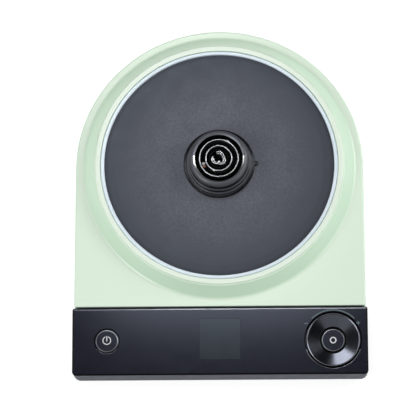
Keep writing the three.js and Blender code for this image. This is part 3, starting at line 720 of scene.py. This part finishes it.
def signal_contact():
    """A small white dome with a copper leaf in front of it, on the left between the two rings."""
    low, high = box_mm("signal_contact")
    at = Matrix.Translation(((low.x + high.x) / 2 * MM, (low.y + high.y) / 2 * MM, 0))
    leaf = prism("signal_leaf", filleted([
        (-1.1, -0.8, 0.2),
        (1.1, -0.8, 0.2),
        (1.1, -0.3, 0.2),
        (-1.1, -0.3, 0.2),
    ], 30), low.z, high.z - 0.6)
    keep(place(leaf, at), "base", "signal_copper", COPPER, "signal_contact")
    dome_r = 1.25
    dome = lathe("signal_dome", [(0, low.z), (dome_r, low.z)] + arc(0, high.z + 0.6, dome_r, 0, 90, 8), 48)
    keep(place(dome, at @ Matrix.Translation((-0.2 * MM, 1.1 * MM, 0))), "base", "white_component", WHITE)


# ---- The panel ----------------------------------------------------------------------------------

def panel_outline(inset, corner, back_inset=0):
    """The panel seen from above, with rounded corners."""
    half = PANEL_HALF_W - inset
    front = panel_low.y + inset
    back = panel_high.y - inset - back_inset
    front_radius = max(0.3, corner - inset)
    back_radius = max(0.3, 1.6 - inset)
    corners = arc(half - front_radius, front + front_radius, front_radius, -90, 0, 10)
    corners += arc(half - back_radius, back - back_radius, back_radius, 0, 90, 6)
    return corners + [(-x, y) for x, y in reversed(corners)]


def panel_top(y):
    """Height of the sloping top at a place along the frame's Y. It rolls down a little at the back."""
    rolled = max(0, y - (panel_high.y - PANEL_EDGE - BACK_ROLL)) / BACK_ROLL
    return ROW_ORIGIN.z / MM + (y - ROW_ORIGIN.y / MM) * math.tan(TILT) - ROLL_DROP * rolled ** 2


def hole_cutter(radius, depth, flare):
    """A round cutter whose rim spreads at the surface, so that the hole's edge comes out rounded."""
    rim = arc(radius + flare, -flare, flare, 180, 98, 6)
    last = rim[-1]
    return lathe("hole", [(0, -depth), (radius, -depth)] + rim + [(last[0] + 0.02, 4), (0, 4)], 128)


def panel_body():
    """The panel's open-bottomed shell, with a chamfer round its top that rolls down at the back."""
    top_corner, foot_corner = 2.9, 5

    def ring(inset, drop, back_inset=0):
        return [(x, y, panel_top(y) - drop) for x, y in panel_outline(inset, top_corner, back_inset)]

    def level(inset, z):
        return [(x, y, z) for x, y in panel_outline(inset, foot_corner)]

    roll_steps = 4
    rings = [ring(PANEL_EDGE, 0, BACK_ROLL * (1 - i / roll_steps)) for i in range(roll_steps)]
    chamfer = filleted([(3, 0), (PANEL_EDGE, 0, 0.2), (0, 0.9, 0.3), (0, 3)], 12, closed=False)
    rings += [ring(inset, drop) for inset, drop in chamfer[1:-1]]
    rings += [level(0, BOTTOM_Z + 0.4), level(0.4, BOTTOM_Z), level(WALL, BOTTOM_Z), ring(WALL, WALL)]
    return loft("panel_shell", rings)


def panel_shell():
    """The panel with the cup that holds the dial, the button's sleeve, and its holes."""
    shell = panel_body()
    cup = tube("dial_cup", 12.6, 21.6, POCKET_FLOOR - 1.2, -1, 96)
    sleeve = tube("button_sleeve", 9.9, 11.1, -5.6, -1, 64)
    boolean(shell, "UNION", place(cup, on_panel(DIAL_X)), place(sleeve, on_panel(-DIAL_X)))
    window = WINDOW_SIZE / 2 + 0.03
    sight = window - 1.6
    boolean(
        shell, "DIFFERENCE",
        place(hole_cutter(DIAL_HOLE_R, -POCKET_FLOOR, 0.45), on_panel(DIAL_X)),
        place(rod("bore", 12.6, -6, 2, 64), on_panel(DIAL_X)),
        place(hole_cutter(BUTTON_HOLE_R, 6, 0.4), on_panel(-DIAL_X)),
        place(prism("window_cutter", square(window), -1.5, 3), on_panel(0, WINDOW_V)),
        place(prism("sight_cutter", square(sight), -6, 3), on_panel(0, WINDOW_V)),
    )
    even_normals(shell)
    keep(shell, "base", "panel_gloss", PANEL_GLOSS, "panel_housing")
    roll_start = panel_high.y - PANEL_EDGE - 0.55 * BACK_ROLL
    wall_top = BOTTOM_Z + 14

    def on_wall(centre, normal):
        return abs(normal.z) < 0.4 and centre.z < wall_top or normal.z < -0.4

    def on_back_edge(centre, normal):
        return normal.z > 0.85 and centre.y > roll_start

    def on_front_edge(_centre, normal):
        return 0.3 < normal.z < 0.95 and normal.y < 0.3

    def on_lip(radius, arc_top, highlighted_part):
        """The lip of a round hole: the part with a painted highlight, which is in front of arc_top, or the rest of
        it, in painted shade.
        """
        def chosen(at, normal):
            near = radius - 0.01 < math.hypot(at.x, at.y) < radius + 0.5 and at.z > POCKET_FLOOR
            return near and (at.y < arc_top and normal.z > 0.3) == highlighted_part
        return chosen

    # Painted light on the shell: the front and side chamfer in painted shade, the lips of the holes with a painted
    # highlight in front and painted shade behind, and a painted highlight along the back edge.
    refinish(shell, SATIN_BLACK, on_wall)
    refinish(shell, PAINTED_SHADE_BLACK, on_front_edge)
    for radius, x, arc_top in ((DIAL_HOLE_R, DIAL_X, -6.8), (BUTTON_HOLE_R, -DIAL_X, -5.1)):
        refinish(shell, EDGE_HIGHLIGHT, on_lip(radius, arc_top, True), on_panel(x))
        refinish(shell, PAINTED_SHADE_BLACK, on_lip(radius, arc_top, False), on_panel(x))
    refinish(shell, BACK_EDGE_HIGHLIGHT, on_back_edge)


def shade_in_seam():
    """A dark strip in the seam between the panel and the body, as painted shade, so that the gap comes out black.
    """
    back, front = JOINT_Y - 0.05, panel_high.y + 0.05
    half = BODY_R - 2.5
    outline = [(-half, front), (half, front), (half, back), (-half, back)]
    strip = prism("seam_shade_strip", outline, BOTTOM_Z + 1, LAND_Z - 1)
    keep(strip, "base", "rubber", RUBBER)


def display_window():
    """A square pane with a fine chamfer, level with the panel."""
    half = WINDOW_SIZE / 2
    chamfer = 0.1
    levels = ((half, -1.2), (half, -chamfer), (half - chamfer, 0))
    rings = [[(x, y, z) for x, y in square(size)] for size, z in levels]
    window = place(loft("window_pane", rings, sharp=20), on_panel(0, WINDOW_V))
    keep(window, "base", "window_smoke", SMOKE, "display_window")


def power_button():
    """The cap, a collar under the panel that stops it, and its stem."""
    top = 0.5
    cap = lathe("power_cap", filleted([
        (0, -3.8),
        (9.3, -3.8, 0.2),
        (9.3, -3, 0.2),
        (BUTTON_R, -3),
        (BUTTON_R, top - 0.5, 0.3),
        (BUTTON_R - 0.5, top - 0.05, 0.2),
        (BUTTON_R - 0.9, top, 0.2),
        (0, top),
    ], 8), 128)
    boolean(cap, "UNION", rod("stem", 2.5, STEM_END, -3.5))
    even_normals(cap)
    place(cap, on_panel(-DIAL_X))
    keep(cap, "power_button", "button_gloss", BUTTON, "power_button")
    line_in, line_out = BUTTON_R - 0.8, BUTTON_R - 0.2
    # The cap's top edge gets a painted highlight, brighter at its back, and its side below in painted shade.
    refinish(cap, RIM_HIGHLIGHT, in_ring(line_in, line_out, above=0), on_panel(-DIAL_X))
    refinish(cap, EDGE_HIGHLIGHT, in_ring(line_in, line_out, above=0, behind=-2), on_panel(-DIAL_X))
    refinish(cap, PAINTED_SHADE_BLACK, in_ring(line_out), on_panel(-DIAL_X))
    power_symbol(top)


def power_symbol(top):
    """An open ring with a bar in its gap, printed on the button."""
    thick = 0.6
    radius = 2.95 - thick / 2
    raised = top + PRINT_THICK
    middle = 0.4
    opening = 21  # half the gap at the top, in degrees
    outer = arc(0, middle, radius + thick / 2, 90 + opening, 450 - opening, 60)
    inner = arc(0, middle, radius - thick / 2, 450 - opening, 90 + opening, 60)
    ring = prism("power_symbol_ring", outer + inner, top - 0.1, raised)
    half = thick / 2
    foot, tip = -0.2, 3.45
    bar = prism("power_symbol_bar", filleted([
        (-half, foot, 0.2),
        (half, foot, 0.2),
        (half, tip, 0.2),
        (-half, tip, 0.2),
    ], 20), top - 0.1, raised)
    for mark in (ring, bar):
        keep(place(mark, on_panel(-DIAL_X)), "power_button", "white_component", PRINT)


def dial():
    """The turning ring: a narrow rim just proud of the panel, then a dish that runs down to the hub."""
    rim, hub, skirt = 0.9, -1.7, -3.6
    dish_in, bore = 9.4, 8.75
    knob = lathe("dial_ring", filleted([
        (DIAL_R, skirt, 0.2),
        (DIAL_R, rim - 0.25, 0.5),
        (DIAL_R - 0.55, rim, 0.25),
        (DIAL_R - 1, rim - 0.25, 0.2),
        (dish_in, hub, 0.1),
        (bore, hub - 0.5, 0.1),
        (bore, skirt),
        (10.2, skirt),
        (10.2, -3.1),
        (17.2, -1.4),
        (17.2, skirt),
    ], 10), 240)
    even_normals(knob)
    place(knob, on_panel(DIAL_X))
    keep(knob, "dial", "dial_gloss", DIAL, "dial_knob")
    line_in, line_out = DIAL_R - 0.7, DIAL_R - 0.35
    # Painted shade on the knob's side under its rim and in its hub, and a painted highlight round its rim.
    refinish(knob, PAINTED_SHADE_BLACK, in_ring(line_out), on_panel(DIAL_X))
    refinish(knob, PAINTED_SHADE_BLACK, in_ring(0, dish_in), on_panel(DIAL_X))
    refinish(knob, RIM_HIGHLIGHT, in_ring(line_in, line_out, above=0), on_panel(DIAL_X))


def select_button():
    """The button at the bottom of the dial's dish, with a small ring printed on it."""
    top = -1.9
    cap = lathe("select_cap", filleted([
        (0, top - 1.4),
        (6.6, top - 1.4),
        (6.6, top - 2.7),
        (SELECT_R, top - 2.7),
        (SELECT_R, top - 0.5, 0.3),
        (SELECT_R - 0.5, top - 0.05, 0.2),
        (SELECT_R - 0.9, top, 0.2),
        (0, top),
    ], 8), 128)
    boolean(cap, "UNION", rod("stem", 3, STEM_END, top - 1))
    even_normals(cap)
    place(cap, on_panel(DIAL_X))
    keep(cap, "select_button", "button_gloss", BUTTON, "select_button")
    line_in, line_out = SELECT_R - 0.95, SELECT_R - 0.45
    # A painted highlight round the cap's top edge, and painted shade on its side.
    refinish(cap, EDGE_HIGHLIGHT, in_ring(line_in, line_out, above=top - 0.3), on_panel(DIAL_X))
    refinish(cap, PAINTED_SHADE_BLACK, in_ring(line_out), on_panel(DIAL_X))
    symbol = tube("select_symbol", 1.5, 2.3, top - 0.1, top + PRINT_THICK, 64)
    keep(place(symbol, on_panel(DIAL_X)), "select_button", "white_component", PRINT)


def dial_marks():
    """The printed arc over the dial with a minus at one end and a plus at the other."""
    line = 0.7
    radius = 20.75
    outer = arc(0, 0, radius + line / 2, 45, 135, 48)
    inner = arc(0, 0, radius - line / 2, 135, 45, 48)
    marks = [prism("dial_arc", outer + inner, -PRINT_THICK, PRINT_THICK)]

    def bar(name, width, height, angle, out=radius):
        x = out * math.cos(math.radians(angle))
        y = out * math.sin(math.radians(angle))
        w, h = width / 2, height / 2
        outline = [(x - w, y - h), (x + w, y - h), (x + w, y + h), (x - w, y + h)]
        return prism(name, outline, -PRINT_THICK, PRINT_THICK)

    length = 2.7
    plus_angle = 34
    marks.append(bar("minus_mark", length, line, 148, radius + 0.8))
    plus = bar("plus_mark", length, line, plus_angle)
    boolean(plus, "UNION", bar("plus_upright", line, length, plus_angle))
    marks.append(plus)
    for mark in marks:
        keep(place(mark, on_panel(DIAL_X)), "base", "window_smoke", DULL_PRINT)


# ---- Underneath ---------------------------------------------------------------------------------

def feet():
    """Four stepped rubber feet, each with its stem."""
    for name in ("front_left", "front_right", "rear_left", "rear_right"):
        low, high = box_mm(f"foot_{name}")
        foot = lathe(f"rubber_foot_{name}", filleted([
            (0, 0.35),
            (3.6, 0.35, 0.6),
            (4.4, 0, 0.4),
            (6.4, 0, 0.7),
            (7, 0.9, 0.5),
            (7, BOTTOM_Z + 0.9, 0.2),
            (1.9, BOTTOM_Z + 0.9),
            (1.9, high.z, 0.6),
            (0, high.z),
        ], 15), 72)
        middle = (low + high) / 2
        place(foot, Matrix.Translation((middle.x * MM, middle.y * MM, 0)))
        keep(foot, "base", "rubber", RUBBER, f"foot_{name}")


def gland():
    """The rubber bush in the cord's inlet, with a flange behind the wall."""
    bore, neck, flange = 3.5, 4.6, 6
    bush = lathe("inlet_bush", filleted([
        (bore, -9, 0.3),
        (neck, -9, 0.3),
        (neck, -5),
        (flange, -5, 0.3),
        (flange, -3.2, 0.3),
        (neck, -3.2),
        (neck, -0.3, 0.5),
        (bore, -0.3, 0.5),
    ], 15), 64)
    keep(place(bush, at_inlet()), "base", "rubber", RUBBER, "cord_gland")


# ---- Studio -------------------------------------------------------------------------------------

# The camera turns about a point level with the seat. Angles are in degrees.
CAMERA_AZIMUTH = 4.825
CAMERA_ELEVATION = 74.03
CAMERA_ROLL = -5.108
CAMERA_DISTANCE = 1684.8
CAMERA_TARGET = (-7.8, SEAT_Y - 31.95, SEAT_Z)
FOCAL_LENGTH = 210.37
SENSOR_WIDTH = 36

# The lights, in metres, degrees and watts.
SOFTBOX_DISTANCE = 1.2
SOFTBOX_SIZE = 0.5
SOFTBOXES = (  # name, angle from straight up, direction from +X, power
    ("left_back", 47, 163, 1.1),
    ("left", 52, 180, 1.7),
    ("left_front", 52, 220, 6.6),
    ("right_back", 52, 20, 2.9),
    ("right", 65, 20, 4.3),
    ("right_front", 65, -20, 3.6),
)
OVERHEAD_X = -0.02
LIGHT_HEIGHT = 1.0

# The floor and the surroundings.
FLOOR_HALF = 6000
FLOOR_GLOW = 0.78
WORLD_GLOW = 0.02


def camera():
    """Looks down at the target from the front, turned a little to one side and rolled."""
    azimuth = math.radians(CAMERA_AZIMUTH)
    elevation = math.radians(CAMERA_ELEVATION)
    roll = math.radians(CAMERA_ROLL)
    level = math.cos(elevation)
    back = Vector((math.sin(azimuth) * level, -math.cos(azimuth) * level, math.sin(elevation)))
    right = Vector((0, 0, 1)).cross(back).normalized()
    up = back.cross(right)
    turned_right = math.cos(roll) * right + math.sin(roll) * up
    turned_up = math.cos(roll) * up - math.sin(roll) * right
    lens = bpy.data.cameras.new("camera")
    lens.lens = FOCAL_LENGTH
    lens.sensor_width = SENSOR_WIDTH
    lens.clip_start = 0.05
    lens.clip_end = 20
    eye = bpy.data.objects.new("camera", lens)
    rotation = Matrix((turned_right, turned_up, back)).transposed().to_4x4()
    target = Vector(CAMERA_TARGET) * MM
    eye.matrix_world = Matrix.Translation(target + back * CAMERA_DISTANCE * MM) @ rotation
    bpy.context.scene.collection.objects.link(eye)
    bpy.context.scene.camera = eye


def light(name, position, target, width, height, power):
    """A soft rectangular light that faces a target, out of the camera's sight."""
    lamp = bpy.data.lights.new(name, "AREA")
    lamp.shape = "RECTANGLE"
    lamp.size = width
    lamp.size_y = height
    lamp.energy = power
    holder = bpy.data.objects.new(name, lamp)
    facing = (Vector(target) - Vector(position)).to_track_quat("-Z", "Y").to_matrix().to_4x4()
    holder.matrix_world = Matrix.Translation(position) @ facing
    holder.visible_camera = False
    bpy.context.scene.collection.objects.link(holder)


def softbox(name, zenith, azimuth, power):
    """A square light facing the seat, placed by its angle from straight up and its direction from +X."""
    zenith, azimuth = math.radians(zenith), math.radians(azimuth)
    away = SOFTBOX_DISTANCE * Vector((
        math.sin(zenith) * math.cos(azimuth),
        math.sin(zenith) * math.sin(azimuth),
        math.cos(zenith),
    ))
    seat = Vector((0, SEAT_Y, SEAT_Z)) * MM
    light(name, seat + away, seat, SOFTBOX_SIZE, SOFTBOX_SIZE, power)


def overhead(name, y, width, depth, power):
    """A light facing straight down, its middle y metres behind the frame's origin."""
    light(name, (OVERHEAD_X, y, LIGHT_HEIGHT), (OVERHEAD_X, y, 0), width, depth, power)


def pale_floor():
    """A wide floor that glows a little, so that it comes out near white."""
    pale = surface("pale_floor", linear(160, 160, 160), 0.9, mottle=0.004, patch=4, grain=400, bump=0.01,
                   specular=0.0)
    shader = pale.node_tree.nodes["Principled BSDF"]
    shader.inputs["Emission Color"].default_value = (1, 1, 1, 1)
    shader.inputs["Emission Strength"].default_value = FLOOR_GLOW
    work = bmesh.new()
    bmesh.ops.create_grid(work, x_segments=1, y_segments=1, size=FLOOR_HALF)
    floor = finish_mesh("floor", work)
    floor.data.materials.append(pale)


def studio():
    pale_floor()
    for name, zenith, azimuth, power in SOFTBOXES:
        softbox(name, zenith, azimuth, power)
    overhead("back_narrow", y=0.1, width=0.26, depth=0.16, power=0.6)
    overhead("front_edge", y=0.04, width=0.2, depth=0.08, power=0.12)
    dial_middle = (DIAL_X * MM, ROW_ORIGIN.y, ROW_ORIGIN.z)
    seat_middle = (0, SEAT_Y * MM, SEAT_Z * MM)
    light("dial_strip", (-0.14, 0.49, LIGHT_HEIGHT), dial_middle, width=0.5, height=0.2, power=2.6)
    light("front_fill", (0, -0.5, LIGHT_HEIGHT), seat_middle, width=0.9, height=0.3, power=0.7)
    world = bpy.data.worlds.new("studio")
    world.use_nodes = True
    background = world.node_tree.nodes["Background"]
    background.inputs["Color"].default_value = (1, 1, 1, 1)
    background.inputs["Strength"].default_value = WORLD_GLOW
    bpy.context.scene.world = world
    bpy.context.scene.view_settings.view_transform = "Standard"


camera()
repaint_parts()
round_body()
seat_plate()
trim_ring()
connector()
contact_ring("outer_band", 12.9, 13.8, "outer_contact_ring", 62)
contact_ring("inner_band", 8.5, 9.4, "inner_contact_ring", 250)
centre_contact()
signal_contact()
panel_shell()
shade_in_seam()
display_window()
power_button()
dial()
select_button()
dial_marks()
feet()
gland()
studio()
